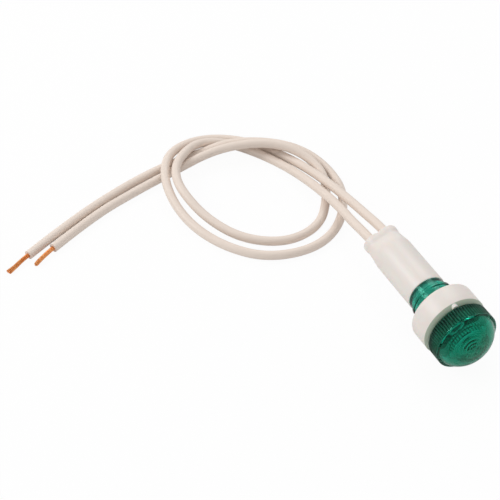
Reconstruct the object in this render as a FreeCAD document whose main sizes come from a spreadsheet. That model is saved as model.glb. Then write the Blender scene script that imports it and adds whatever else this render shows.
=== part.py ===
import FreeCAD, Part
import math
import os
import re

import Sketcher

# Panel pilot light: a green domed lens and its ribbed barrel in one moulding, a white
# retaining ring pushed up the barrel, a white sleeve behind it, and two insulated leads
# that lie in a loose overhand loop. The glow lamp and its resistor are inside.
#
# Row frame, millimetres: the lamp lies on its retaining ring with its axis along Y and
# its lens towards -Y. Z = 0 is the surface it lies on, and the origin is under the middle
# of the lamp. Every piece of the lamp is drawn about its own Z axis, which is the lamp's
# axis with the lens at +Z, and whose zero is the flange's seat on the panel.

os.makedirs("parts", exist_ok=True)
doc = FreeCAD.newDocument("PilotLight")

# Driving dimensions, in millimetres.
SIZES = [
    ("head_overhang", 3.0, "crests of the fluted band beyond the barrel"),
    ("head_length", 9.7, "seat to the top of the dome"),
    ("band_step", 0.2, "crests of the band to the dome at its foot"),
    ("dome_foot", 5.4, "seat to the dome's edge, before it is rounded"),
    ("shoulder_radius", 6.9, "rounding of the dome's edge"),
    ("flange_chamfer", 0.5, "back edge of the flange"),
    ("band_length", 4.8, "seat to the front of the fluted band"),
    ("band_edge", 0.12, "front edge of the band"),
    ("band_sunk", 1.25, "crests of the band to its root in the head"),
    ("band_lip", 0.3, "plain lip in front of the flutes"),
    ("flute_count", 72, "flutes round the band"),
    ("flute_depth", 0.24, "flutes"),
    ("flute_width", 0.62, "flutes, at the crests"),
    ("rim_wall", 2.0, "crests of the band to the hollow behind the dome"),
    ("cavity_floor", 1.0, "seat to the back of the hollow"),
    ("cavity_side", 2.9, "seat to the edge of the inner dome"),
    ("dome_wall", 3.0, "thickness of the dome on the axis"),
    ("prism_pitch", 0.9, "ring prisms inside the dome"),
    ("prism_depth", 0.28, "ring prisms inside the dome"),
    ("prism_draft", 0.03, "slope of each prism's steep side"),
    ("barrel_radius", 6.25, "crests of the barrel ribs, for a 12.7 hole"),
    ("barrel_length", 12.5, "seat to the end of the ribbed barrel"),
    ("barrel_collar", 0.9, "plain collar at the end of the barrel"),
    ("barrel_taper", 0.15, "edge of that collar"),
    ("rib_pitch", 0.9, "barrel ribs"),
    ("rib_depth", 0.2, "barrel ribs"),
    ("tail_radius", 5.6, "plain tail of the moulding"),
    ("tail_length", 2.45, "tail that shows between barrel and sleeve"),
    ("spigot_radius", 4.93, "spigot inside the sleeve"),
    ("spigot_length", 5.0, "spigot inside the sleeve"),
    ("bore_radius", 4.1, "bore of the moulding"),
    ("ring_step", 0.2, "retaining ring beyond the crests of the band"),
    ("ring_length", 7.95, "retaining ring"),
    ("ring_clearance", 0.05, "ring bore round the ribs, on the radius"),
    ("ring_gap", 0.05, "ring to flange at rest"),
    ("ring_chamfer", 1.2, "front edge of the ring"),
    ("ring_fillet", 0.9, "back edge of the ring"),
    ("ring_relief", 0.5, "lead-in at the back of the ring's bore"),
    ("nib_radius", 0.95, "locating nib on the ring's front edge"),
    ("nib_length", 1.5, "locating nib"),
    ("nib_inset", 0.1, "locating nib, from the ring's outside"),
    ("nib_angle", 99, "locating nib, degrees round the axis"),
    ("sleeve_radius", 5.75, "sleeve, outside"),
    ("sleeve_wall", 0.8, "sleeve"),
    ("sleeve_fillet", 0.3, "front edge of the sleeve"),
    ("neck_length", 5.6, "stretch that flattens into the collar"),
    ("neck_wall", 0.8, "end of the round hollow to the start of the neck"),
    ("collar_length", 2.75, "collar"),
    ("collar_radius", 2.9, "collar round each lead"),
    ("collar_swell", 0.25, "lip of the collar, beyond its neck"),
    ("collar_fillet", 0.7, "back edge of the collar"),
    ("dip_radius", 0.9, "saddle between the leads in the collar's back"),
    ("dip_depth", 0.5, "saddle"),
    ("wire_slot", 1.6, "half the height of the slot in the collar"),
    ("lead_grip", 4.35, "depth of the lead holes in the collar"),
    ("roll_angle", 20, "turn of the sleeve about the axis, degrees"),
    ("lead_pitch", 4.6, "between the two leads"),
    ("lead_radius", 1.35, "insulation"),
    ("lead_straight", 2.15, "lead behind the collar, to the first turn of its route"),
    ("lead_clearance", 0.1, "lead in its hole, on the radius"),
    ("conductor_radius", 0.65, "stranded copper conductor"),
    ("holder_clearance", 0.05, "bulb holder in the bore, on the radius"),
    ("holder_front", 4.0, "seat back to the holder's mouth"),
    ("holder_flange", 0.8, "flange that stops on the spigot's end"),
    ("holder_web", 1.6, "back wall of the holder"),
    ("bulb_radius", 2.95, "glass of the glow lamp"),
    ("bulb_clearance", 0.1, "glass in its holder, on the radius"),
    ("bulb_wall", 0.5, "glass"),
    ("bulb_back", 12.5, "seat back to the base of the glass"),
    ("bulb_front", 2.5, "seat to the top of the glass"),
    ("bulb_tip", 0.7, "sealed-off tip of the glass"),
    ("pinch_length", 3.0, "flattened seal at the base of the glass"),
    ("pinch_width", 4.4, "seal"),
    ("pinch_height", 1.6, "seal"),
    ("electrode_radius", 0.45, "electrodes"),
    ("electrode_length", 9.0, "electrodes"),
    ("electrode_pitch", 2.2, "between the two electrodes"),
    ("bulb_wire", 0.25, "radius of the lamp's wires"),
    ("resistor_radius", 1.1, "resistor, at its end caps"),
    ("resistor_waist", 0.95, "resistor, between its caps"),
    ("resistor_length", 5.6, "resistor"),
    ("cap_fillet", 0.4, "ends of the resistor"),
    ("wire_room", 3.95, "holder back to the resistor"),
    ("wire_straight", 0.6, "holder back to the first bend of the lamp's wires"),
    ("resistor_wire", 0.3, "radius of the resistor's wires"),
    ("stub_length", 0.8, "resistor wire in front of its cap"),
    ("sleeving_radius", 1.5, "insulating tube over the resistor"),
    ("sleeving_wall", 0.3, "insulating tube"),
    ("sleeving_overhang", 0.4, "insulating tube beyond each cap"),
    ("crimp_radius", 1.1, "crimp barrels"),
    ("crimp_length", 3.8, "crimp barrels"),
    ("crimp_room", 1.0, "resistor back to the crimp barrels"),
    ("crimp_wire", 1.4, "length of thin wire in a crimp"),
    ("conductor_length", 3.25, "stripped conductor in front of each lead"),
]

sheet = doc.addObject("Spreadsheet::Sheet", "Sizes")
for row, (alias, number, note) in enumerate(SIZES, start=1):
    sheet.set(f"A{row}", alias)
    sheet.set(f"B{row}", str(number))
    sheet.setAlias(f"B{row}", alias)
    sheet.set(f"C{row}", note)
doc.recompute()


def bound(expression):
    """The expression with each alias of the sheet written out in full."""
    return re.sub(r"[a-z]+(?:_[a-z]+)+", lambda alias: "Sizes." + alias.group(), str(expression))


def value(expression):
    """What the expression comes to with the sheet as it stands."""
    return float(sheet.evalExpression(bound(expression)))


# Places along the lamp's axis from the flange's seat. The sleeve is as long as what lies in
# it: spigot, holder flange, wires, resistor, crimp, conductor and the grip on the leads.
SLEEVE_FRONT = "(-barrel_length - tail_length)"
SPIGOT_END = f"({SLEEVE_FRONT} - spigot_length)"
HOLDER_BACK = f"({SPIGOT_END} - holder_flange)"
RESISTOR_FRONT = f"({HOLDER_BACK} - wire_room)"
RESISTOR_BACK = f"({RESISTOR_FRONT} - resistor_length)"
CRIMP_FRONT = f"({RESISTOR_BACK} - crimp_room)"
CRIMP_MIDDLE = f"({CRIMP_FRONT} - crimp_wire)"
LEAD_START = f"({CRIMP_MIDDLE} - conductor_length)"
SLEEVE_BACK = f"({LEAD_START} - lead_grip)"
NECK_BACK = f"({SLEEVE_BACK} + collar_length)"
NECK_FRONT = f"({NECK_BACK} + neck_length)"
HOLLOW_END = f"({NECK_FRONT} + neck_wall)"
RING_BACK = "(-ring_gap - ring_length)"

# Radii and offsets that follow from others.
HEAD_RADIUS = "(barrel_radius + head_overhang)"
RING_RADIUS = f"({HEAD_RADIUS} + ring_step)"
DOME_SIDE = f"({HEAD_RADIUS} - band_step)"
CAVITY_RADIUS = f"({HEAD_RADIUS} - rim_wall)"
RING_BORE = "(barrel_radius + ring_clearance)"
HALF_PITCH = "(lead_pitch / 2)"


def place(obj, rolled=False):
    """Turn a piece drawn along Z so that it lies along Y on its ring, lens towards -Y."""
    tilt = FreeCAD.Rotation(FreeCAD.Vector(1, 0, 0), 90)
    roll = FreeCAD.Rotation(FreeCAD.Vector(0, 0, 1), value("roll_angle") if rolled else 0)
    obj.Placement = FreeCAD.Placement(FreeCAD.Vector(), tilt.multiply(roll))
    obj.setExpression("Placement.Base.y", bound(f"(head_length + {SLEEVE_BACK}) / 2"))
    obj.setExpression("Placement.Base.z", bound(RING_RADIUS))


def new_body(name, rolled=False):
    body = doc.addObject("PartDesign::Body", name)
    body.Label = name
    place(body, rolled)
    return body


def new_sketch(body, name, role, height="0"):
    """A sketch on one of the body's own planes, raised by height."""
    sketch = body.newObject("Sketcher::SketchObject", f"{body.Name}_{name}")
    plane = next(feature for feature in body.Origin.OriginFeatures if feature.Role == role)
    sketch.AttachmentSupport = [(plane, "")]
    sketch.MapMode = "FlatFace"
    if height != "0":
        sketch.setExpression("AttachmentOffset.Base.z", bound(height))
    return sketch


def fix_distance(sketch, kind, edge, point, expression):
    """Tie one coordinate of a point of an edge to the sheet, from the sketch's origin."""
    number = sketch.addConstraint(Sketcher.Constraint(kind, -1, 1, edge, point, value(expression)))
    sketch.setExpression(f"Constraints[{number}]", bound(expression))


def fix_point(sketch, edge, point, across, along):
    """Tie both coordinates of a point of an edge to the sheet."""
    for kind, line, expression in (("DistanceX", -2, across), ("DistanceY", -1, along)):
        if expression == "0":
            sketch.addConstraint(Sketcher.Constraint("PointOnObject", edge, point, line))
        else:
            fix_distance(sketch, kind, edge, point, expression)


def draw_outline(sketch, corners, domes=()):
    """A closed outline through the corners; edges named in domes are arcs about the axis.

    A corner is a pair of expressions. A dome is (number of the edge, radius of the sphere).
    """
    points = [FreeCAD.Vector(value(x), value(y), 0) for x, y in corners]
    spheres = dict(domes)
    for number, start in enumerate(points):
        end = points[(number + 1) % len(points)]
        if number in spheres:
            radius = value(spheres[number])
            centre = FreeCAD.Vector(0, start.y - math.sqrt(radius ** 2 - start.x ** 2), 0)
            circle = Part.Circle(centre, FreeCAD.Vector(0, 0, 1), radius)
            first = math.atan2(start.y - centre.y, start.x)
            last = math.atan2(end.y - centre.y, end.x)
            sketch.addGeometry(Part.ArcOfCircle(circle, min(first, last), max(first, last)), False)
        else:
            sketch.addGeometry(Part.LineSegment(start, end), False)
    # An arc runs counterclockwise, so its first end is the outline's corner only if the
    # outline climbs towards the axis along it.
    ends = {number: (1, 2) for number in range(len(points))}
    for number in spheres:
        if points[number].x < points[(number + 1) % len(points)].x:
            ends[number] = (2, 1)
    for number in range(len(points)):
        following = (number + 1) % len(points)
        sketch.addConstraint(Sketcher.Constraint(
            "Coincident", number, ends[number][1], following, ends[following][0]))
    for number, (across, along) in enumerate(corners):
        fix_point(sketch, number, ends[number][0], across, along)
    for number in spheres:
        sketch.addConstraint(Sketcher.Constraint("PointOnObject", number, 3, -2))


def draw_circle(sketch, across, along, radius):
    centre = FreeCAD.Vector(value(across), value(along), 0)
    circle = Part.Circle(centre, FreeCAD.Vector(0, 0, 1), value(radius))
    edge = sketch.addGeometry(circle, False)
    fix_point(sketch, edge, 3, across, along)
    number = sketch.addConstraint(Sketcher.Constraint("Radius", edge, value(radius)))
    sketch.setExpression(f"Constraints[{number}]", bound(radius))


def draw_rectangle(sketch, half_width, half_height):
    corners = [(f"-{half_width}", f"-{half_height}"), (half_width, f"-{half_height}"),
               (half_width, half_height), (f"-{half_width}", half_height)]
    draw_outline(sketch, corners)


def draw_slot(sketch, half_pitch, radius):
    """A slot with round ends on the X axis, their centres half_pitch from the middle."""
    reach, rise = value(half_pitch), value(radius)
    right = Part.Circle(FreeCAD.Vector(reach, 0, 0), FreeCAD.Vector(0, 0, 1), rise)
    left = Part.Circle(FreeCAD.Vector(-reach, 0, 0), FreeCAD.Vector(0, 0, 1), rise)
    sketch.addGeometry(Part.ArcOfCircle(right, -math.pi / 2, math.pi / 2), False)
    sketch.addGeometry(Part.LineSegment(FreeCAD.Vector(reach, rise, 0),
                                        FreeCAD.Vector(-reach, rise, 0)), False)
    sketch.addGeometry(Part.ArcOfCircle(left, math.pi / 2, 3 * math.pi / 2), False)
    sketch.addGeometry(Part.LineSegment(FreeCAD.Vector(-reach, -rise, 0),
                                        FreeCAD.Vector(reach, -rise, 0)), False)
    for edge in range(4):
        sketch.addConstraint(Sketcher.Constraint("Coincident", edge, 2, (edge + 1) % 4, 1))
    fix_point(sketch, 1, 1, half_pitch, radius)
    fix_point(sketch, 1, 2, f"-{half_pitch}", radius)
    fix_point(sketch, 3, 1, f"-{half_pitch}", f"-{radius}")
    fix_point(sketch, 3, 2, half_pitch, f"-{radius}")
    fix_distance(sketch, "DistanceX", 0, 3, half_pitch)
    fix_distance(sketch, "DistanceX", 2, 3, f"-{half_pitch}")


def revolve(body, name, corners, domes=()):
    """A turned solid: the outline lies in the XZ plane and turns about Z."""
    sketch = new_sketch(body, name, "XZ_Plane")
    draw_outline(sketch, corners, domes)
    doc.recompute()
    turned = body.newObject("PartDesign::Revolution", f"{body.Name}_{name}_turned")
    turned.Profile = sketch
    turned.ReferenceAxis = (sketch, ["V_Axis"])
    turned.Angle = 360
    doc.recompute()


def extrude(body, kind, name, sketch, length, towards_front):
    """A pad or pocket from the sketch by length, towards the lens or away from it."""
    feature = body.newObject(f"PartDesign::{kind}", f"{body.Name}_{name}")
    feature.Profile = sketch
    feature.setExpression("Length", bound(length))
    feature.Reversed = towards_front == (kind == "Pocket")
    doc.recompute()
    return feature


def circle_edges(feature, radius, height, across="0"):
    """Names of the round edges with that radius and height whose centre is across the axis."""
    names = []
    for number, edge in enumerate(feature.Shape.Edges, start=1):
        if edge.Degenerated or not isinstance(edge.Curve, Part.Circle):
            continue
        centre = edge.Curve.Center
        apart = (edge.Curve.Radius - value(radius), centre.z - value(height),
                 centre.x - value(across), centre.y)
        if max(abs(length) for length in apart) < 1e-4:
            names.append(f"Edge{number}")
    return names


def round_edges(body, name, edges, radius):
    base = body.Tip
    fillet = body.newObject("PartDesign::Fillet", f"{body.Name}_{name}")
    fillet.Base = (base, edges)
    fillet.setExpression("Radius", bound(radius))
    doc.recompute()


def sweep(path, radius):
    """A round rod along a wire."""
    start = path.Edges[0].valueAt(path.Edges[0].FirstParameter)
    heading = path.Edges[0].tangentAt(path.Edges[0].FirstParameter)
    profile = Part.Wire([Part.Circle(start, heading, radius).toShape()])
    return path.makePipeShell([profile], True, False)


def bent_path(points):
    """Straight runs joined by tangent arcs, each as large as its two runs allow."""
    points = [FreeCAD.Vector(*point) for point in points]
    edges, radii, start = [], [], points[0]
    for before, corner, after in zip(points, points[1:], points[2:]):
        inward, outward = corner - before, after - corner
        reach = 0.45 * min(inward.Length, outward.Length)
        turn = inward.getAngle(outward)
        inward.normalize()
        outward.normalize()
        first, last = corner - inward * reach, corner + outward * reach
        radius = reach / math.tan(turn / 2)
        to_centre = (outward - inward).normalize()
        middle = corner + to_centre * (radius / math.cos(turn / 2) - radius)
        edges += [Part.LineSegment(start, first).toShape(),
                  Part.Arc(first, middle, last).toShape()]
        radii.append(radius)
        start = last
    edges.append(Part.LineSegment(start, points[-1]).toShape())
    return Part.Wire(edges), radii


def bent_rod(name, points, radius, in_lamp=True):
    """A wire or lead as one swept solid; in_lamp puts it in the lamp's rolled frame."""
    path, radii = bent_path(points)
    rod = doc.addObject("Part::Feature", name)
    rod.Label = name
    rod.Shape = sweep(path, radius)
    if in_lamp:
        place(rod, rolled=True)
    expected = math.pi * radius ** 2 * path.Length
    if abs(rod.Shape.Volume / expected - 1) > 0.01:
        raise ValueError(f"{name}: volume {rod.Shape.Volume:.1f}, expected {expected:.1f}")
    if radii:
        print(f"{name}: length {path.Length:.1f}, radii", [round(number, 1) for number in radii])
    else:
        print(f"{name}: length {path.Length:.1f}")
    return rod


# Lens body: dome, fluted rim, flange, ribbed barrel, tail and spigot in one moulding. The
# outline starts on the dome, comes down the outside and goes back up the inside.
def dome_radius(rise, reach):
    """Sphere whose cap of half width reach is rise high."""
    return f"(({reach})^2 + ({rise})^2) / (2 * ({rise}))"


lens = new_body("lens_body")
outer_dome = dome_radius("head_length - dome_foot", DOME_SIDE)
inner_dome = dome_radius("head_length - dome_wall - cavity_side", CAVITY_RADIUS)
outside = [
    (DOME_SIDE, "dome_foot"),
    ("0", "head_length"),
]
prisms = [("0", "head_length - dome_wall")]
prism_count = int(value(f"{CAVITY_RADIUS} / prism_pitch - 0.5"))
for number in range(1, prism_count + 1):
    radius = f"({number} * prism_pitch)"
    sag = f"({inner_dome} - sqrt(({inner_dome})^2 - {radius}^2))"
    prisms.append((f"{radius} - prism_draft", f"head_length - dome_wall - {sag} + prism_depth"))
    if number < prism_count:
        prisms.append((radius, f"head_length - dome_wall - {sag}"))
inside = [
    (CAVITY_RADIUS, "cavity_side"),
    (CAVITY_RADIUS, "cavity_floor"),
    ("bore_radius", "cavity_floor"),
    ("bore_radius", SPIGOT_END),
    ("spigot_radius", SPIGOT_END),
    ("spigot_radius", SLEEVE_FRONT),
    ("tail_radius", SLEEVE_FRONT),
    ("tail_radius", "-barrel_length"),
    ("barrel_radius - barrel_taper", "-barrel_length"),
    ("barrel_radius", "-barrel_length + barrel_taper"),
    ("barrel_radius", "-barrel_length + barrel_collar"),
    ("barrel_radius - rib_depth", "-barrel_length + barrel_collar + rib_depth"),
]
ribs = []
rib_count = int(value("(barrel_length - barrel_collar - rib_depth) / rib_pitch - 0.45"))
for number in range(rib_count, 0, -1):
    for radius, step in (("barrel_radius - rib_depth", "0.4"), ("barrel_radius", "0.25"),
                         ("barrel_radius", "-0.15"), ("barrel_radius - rib_depth", "-0.3")):
        ribs.append((radius, f"-({number} + {step}) * rib_pitch"))
seat = [
    ("barrel_radius - rib_depth", "0"),
    (DOME_SIDE, "0"),
]
revolve(lens, "head", outside + prisms + inside + ribs + seat, [(0, outer_dome)])
round_edges(lens, "shoulder", circle_edges(lens.Tip, DOME_SIDE, "dome_foot"), "shoulder_radius")
revolve(lens, "band", [
    (f"{HEAD_RADIUS} - band_sunk", "0"),
    (f"{HEAD_RADIUS} - flange_chamfer", "0"),
    (HEAD_RADIUS, "flange_chamfer"),
    (HEAD_RADIUS, "band_length - band_edge"),
    (f"{HEAD_RADIUS} - band_edge", "band_length"),
    (f"{HEAD_RADIUS} - band_sunk", "band_length"),
])

flute = new_sketch(lens, "flute", "XY_Plane")
draw_outline(flute, [(f"{HEAD_RADIUS} - flute_depth", "0"),
                     (f"{HEAD_RADIUS} + flute_depth", "-flute_width"),
                     (f"{HEAD_RADIUS} + flute_depth", "flute_width")])
first_flute = extrude(lens, "Pocket", "first_flute", flute, "band_length - band_lip", True)
flutes = lens.newObject("PartDesign::PolarPattern", "lens_body_flutes")
flutes.Originals = [first_flute]
flutes.Axis = (flute, ["N_Axis"])
flutes.Angle = 360
flutes.setExpression("Occurrences", bound("flute_count"))
lens.Tip = flutes
doc.recompute()

# Retaining ring: smooth outside, chamfered front edge with one locating nib.
ring = new_body("retaining_ring")
revolve(ring, "ring", [
    (RING_BORE, "-ring_gap"),
    (RING_BORE, f"{RING_BACK} + ring_relief"),
    (f"{RING_BORE} + ring_relief", RING_BACK),
    (RING_RADIUS, RING_BACK),
    (RING_RADIUS, "-ring_gap - ring_chamfer"),
    (f"{RING_RADIUS} - ring_chamfer", "-ring_gap"),
])
round_edges(ring, "back_edge", circle_edges(ring.Tip, RING_RADIUS, RING_BACK), "ring_fillet")
nib = new_sketch(ring, "nib", "XY_Plane", "-ring_gap")
nib_reach = f"({RING_RADIUS} - nib_radius - nib_inset)"
draw_circle(nib, f"{nib_reach} * cos(nib_angle * 1deg)", f"{nib_reach} * sin(nib_angle * 1deg)",
            "nib_radius")
extrude(ring, "Pad", "nib_pad", nib, "nib_length", False)

# Rear sleeve: round tube that flattens into a collar with one hole for each lead.
sleeve = new_body("rear_sleeve", rolled=True)
barrel = new_sketch(sleeve, "barrel", "XY_Plane", SLEEVE_FRONT)
draw_circle(barrel, "0", "0", "sleeve_radius")
extrude(sleeve, "Pad", "barrel_pad", barrel, f"{SLEEVE_FRONT} - {NECK_FRONT}", False)


def draw_neck(sketch, radius):
    """A round outline cut in four, so that it lofts to a slot edge by edge."""
    rise = value(radius)
    circle = Part.Circle(FreeCAD.Vector(), FreeCAD.Vector(0, 0, 1), rise)
    split = math.radians(60)
    turns = [-split, split, math.pi - split, math.pi + split, 2 * math.pi - split]
    for first, last in zip(turns, turns[1:]):
        sketch.addGeometry(Part.ArcOfCircle(circle, first, last), False)
    for edge in range(4):
        sketch.addConstraint(Sketcher.Constraint("Coincident", edge, 2, (edge + 1) % 4, 1))
        sketch.addConstraint(Sketcher.Constraint("Coincident", edge, 3, -1, 1))
    number = sketch.addConstraint(Sketcher.Constraint("Radius", 0, rise))
    sketch.setExpression(f"Constraints[{number}]", bound(radius))
    for edge, sign in ((0, ""), (2, "-")):
        for end in (1, 2):
            fix_distance(sketch, "DistanceX", edge, end, f"{sign}{radius} / 2")


neck_front = new_sketch(sleeve, "neck_front", "XY_Plane", NECK_FRONT)
draw_neck(neck_front, "sleeve_radius")
neck_back = new_sketch(sleeve, "neck_back", "XY_Plane", NECK_BACK)
draw_slot(neck_back, HALF_PITCH, "collar_radius")
doc.recompute()
neck = sleeve.newObject("PartDesign::AdditiveLoft", "rear_sleeve_neck")
neck.Profile = neck_front
neck.Sections = [neck_back]
neck.Ruled = False
doc.recompute()
lip = new_sketch(sleeve, "lip", "XY_Plane", NECK_BACK)
draw_slot(lip, HALF_PITCH, "(collar_radius + collar_swell)")
extrude(sleeve, "Pad", "lip_pad", lip, "collar_length", False)
lip_edges = [f"Edge{number}" for number, edge in enumerate(sleeve.Tip.Shape.Edges, start=1)
             if abs(edge.BoundBox.ZMin - value(SLEEVE_BACK)) < 1e-4
             and abs(edge.BoundBox.ZMax - value(SLEEVE_BACK)) < 1e-4]
round_edges(sleeve, "lip_edge", lip_edges, "collar_fillet")
round_edges(sleeve, "front_edge", circle_edges(sleeve.Tip, "sleeve_radius", SLEEVE_FRONT),
            "sleeve_fillet")
dip = new_sketch(sleeve, "dip", "XZ_Plane")
draw_circle(dip, "0", f"{SLEEVE_BACK} - dip_radius + dip_depth", "dip_radius")
dip_cut = sleeve.newObject("PartDesign::Pocket", "rear_sleeve_dip_cut")
dip_cut.Profile = dip
dip_cut.Type = "ThroughAll"
dip_cut.Midplane = True
doc.recompute()
hollow = new_sketch(sleeve, "hollow", "XY_Plane", SLEEVE_FRONT)
draw_circle(hollow, "0", "0", "(sleeve_radius - sleeve_wall)")
extrude(sleeve, "Pocket", "hollow_cut", hollow, f"{SLEEVE_FRONT} - {HOLLOW_END}", False)
slot = new_sketch(sleeve, "slot", "XY_Plane", HOLLOW_END)
draw_slot(slot, HALF_PITCH, "wire_slot")
extrude(sleeve, "Pocket", "slot_cut", slot, f"{HOLLOW_END} - {LEAD_START}", False)
holes = new_sketch(sleeve, "holes", "XY_Plane", LEAD_START)
draw_circle(holes, HALF_PITCH, "0", "(lead_radius + lead_clearance)")
draw_circle(holes, f"-{HALF_PITCH}", "0", "(lead_radius + lead_clearance)")
extrude(sleeve, "Pocket", "holes_cut", holes, "lead_grip", False)

# Bulb holder: white bush in the bore, with a flange that stops on the spigot's end and a
# back wall that lets the lamp's two wires out.
holder = new_body("bulb_holder", rolled=True)
revolve(holder, "bush", [
    ("bulb_radius + bulb_clearance", "-holder_front"),
    ("bulb_radius + bulb_clearance", f"{HOLDER_BACK} + holder_web"),
    ("0", f"{HOLDER_BACK} + holder_web"),
    ("0", HOLDER_BACK),
    ("spigot_radius - holder_clearance", HOLDER_BACK),
    ("spigot_radius - holder_clearance", SPIGOT_END),
    ("bore_radius - holder_clearance", SPIGOT_END),
    ("bore_radius - holder_clearance", "-holder_front"),
])
wires = new_sketch(holder, "wires", "XY_Plane", HOLDER_BACK)
for side in ("", "-"):
    draw_circle(wires, f"{side}electrode_pitch / 2", "0", "(bulb_wire + bulb_clearance)")
extrude(holder, "Pocket", "wires_cut", wires, "holder_web", True)

# Glow lamp: glass tube with a domed, sealed-off front and a flattened seal at its base.
glass = new_body("neon_envelope", rolled=True)
INNER_BULB = "(bulb_radius - bulb_wall)"
revolve(glass, "glass", [
    ("0", "-bulb_back"),
    ("bulb_radius", "-bulb_back"),
    ("bulb_radius", "bulb_front - bulb_radius"),
    ("bulb_wall", "bulb_front - bulb_radius + sqrt(bulb_radius^2 - bulb_wall^2)"),
    ("0", "bulb_front + bulb_tip"),
    ("0", "bulb_front - bulb_wall"),
    (INNER_BULB, "bulb_front - bulb_radius"),
    (INNER_BULB, "-bulb_back + 2 * bulb_wall"),
    ("0", "-bulb_back + 2 * bulb_wall"),
], [(2, "bulb_radius"), (5, INNER_BULB)])
pinch = new_sketch(glass, "pinch", "XY_Plane", "-bulb_back")
draw_rectangle(pinch, "(pinch_width / 2)", "(pinch_height / 2)")
extrude(glass, "Pad", "pinch_pad", pinch, "pinch_length", False)
seals = new_sketch(glass, "seals", "XY_Plane", "-bulb_back - pinch_length")
for side in ("", "-"):
    draw_circle(seals, f"{side}electrode_pitch / 2", "0", "bulb_wire")
extrude(glass, "Pocket", "seals_cut", seals, "pinch_length + 2 * bulb_wall", True)

ELECTRODE_BACK = "(-bulb_back + 3 * bulb_wall)"
for name, side in (("electrode_1", ""), ("electrode_2", "-")):
    electrode = new_body(name, rolled=True)
    rod = new_sketch(electrode, "rod", "XY_Plane", ELECTRODE_BACK)
    draw_circle(rod, f"{side}electrode_pitch / 2", "0", "electrode_radius")
    extrude(electrode, "Pad", "rod_pad", rod, "electrode_length", True)

# Lamp wires: straight out of the seal, then out to the pitch of the leads. The first goes
# to its crimp and the second to the resistor.
electrode_back = value(ELECTRODE_BACK)
bulb_side = value("electrode_pitch / 2")
lead_side = value(HALF_PITCH)
bend_start = value(f"{HOLDER_BACK} - wire_straight")
bend_end = bend_start - (lead_side - bulb_side)
crimp_middle = value(CRIMP_MIDDLE)
stub_front = value(f"{RESISTOR_FRONT} + stub_length")
bent_rod("bulb_lead_1", [(bulb_side, 0, electrode_back), (bulb_side, 0, bend_start),
                         (lead_side, 0, bend_end), (lead_side, 0, crimp_middle)],
         value("bulb_wire"))
bent_rod("bulb_lead_2", [(-bulb_side, 0, electrode_back), (-bulb_side, 0, bend_start),
                         (-lead_side, 0, bend_end), (-lead_side, 0, stub_front)],
         value("bulb_wire"))

# Series resistor on the second wire, with its own wires and an insulating tube over it.
resistor = new_body("ballast_resistor", rolled=True)
CAP = "(resistor_length / 4)"
for name, start, radius, length in (
        ("front_cap", RESISTOR_FRONT, "resistor_radius", CAP),
        ("waist", f"{RESISTOR_FRONT} - {CAP}", "resistor_waist", f"2 * {CAP}"),
        ("back_cap", f"{RESISTOR_BACK} + {CAP}", "resistor_radius", CAP)):
    section = new_sketch(resistor, name, "XY_Plane", start)
    draw_circle(section, f"-{HALF_PITCH}", "0", radius)
    extrude(resistor, "Pad", f"{name}_pad", section, length, False)
for name, height in (("front_edge", RESISTOR_FRONT), ("back_edge", RESISTOR_BACK)):
    ends = circle_edges(resistor.Tip, "resistor_radius", height, f"-{HALF_PITCH}")
    round_edges(resistor, name, ends, "cap_fillet")

for name, start, length in (
        ("resistor_lead_front", f"{RESISTOR_FRONT} + stub_length", "stub_length"),
        ("resistor_lead_rear", RESISTOR_BACK, "crimp_room + crimp_wire")):
    wire = new_body(name, rolled=True)
    section = new_sketch(wire, "section", "XY_Plane", start)
    draw_circle(section, f"-{HALF_PITCH}", "0", "resistor_wire")
    extrude(wire, "Pad", "section_pad", section, length, False)

sleeving = new_body("resistor_sleeving", rolled=True)
section = new_sketch(sleeving, "section", "XY_Plane", f"{RESISTOR_FRONT} + sleeving_overhang")
draw_circle(section, f"-{HALF_PITCH}", "0", "sleeving_radius")
draw_circle(section, f"-{HALF_PITCH}", "0", "(sleeving_radius - sleeving_wall)")
extrude(sleeving, "Pad", "section_pad", section, "resistor_length + 2 * sleeving_overhang", False)

# Crimp barrels, bored small in front for the thin wires and large behind for the leads'
# stripped conductors.
for number, side, thin in ((1, "", "bulb_wire"), (2, "-", "resistor_wire")):
    crimp = new_body(f"crimp_{number}", rolled=True)
    section = new_sketch(crimp, "section", "XY_Plane", CRIMP_FRONT)
    draw_circle(section, f"{side}{HALF_PITCH}", "0", "crimp_radius")
    extrude(crimp, "Pad", "section_pad", section, "crimp_length", False)
    front = new_sketch(crimp, "front", "XY_Plane", CRIMP_FRONT)
    draw_circle(front, f"{side}{HALF_PITCH}", "0", thin)
    extrude(crimp, "Pocket", "front_cut", front, "crimp_wire", False)
    back = new_sketch(crimp, "back", "XY_Plane", CRIMP_MIDDLE)
    draw_circle(back, f"{side}{HALF_PITCH}", "0", "conductor_radius")
    extrude(crimp, "Pocket", "back_cut", back, "crimp_length - crimp_wire", False)
    conductor = new_body(f"conductor_{number}", rolled=True)
    section = new_sketch(conductor, "section", "XY_Plane", CRIMP_MIDDLE)
    draw_circle(section, f"{side}{HALF_PITCH}", "0", "conductor_radius")
    extrude(conductor, "Pad", "section_pad", section, "conductor_length", False)

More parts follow.
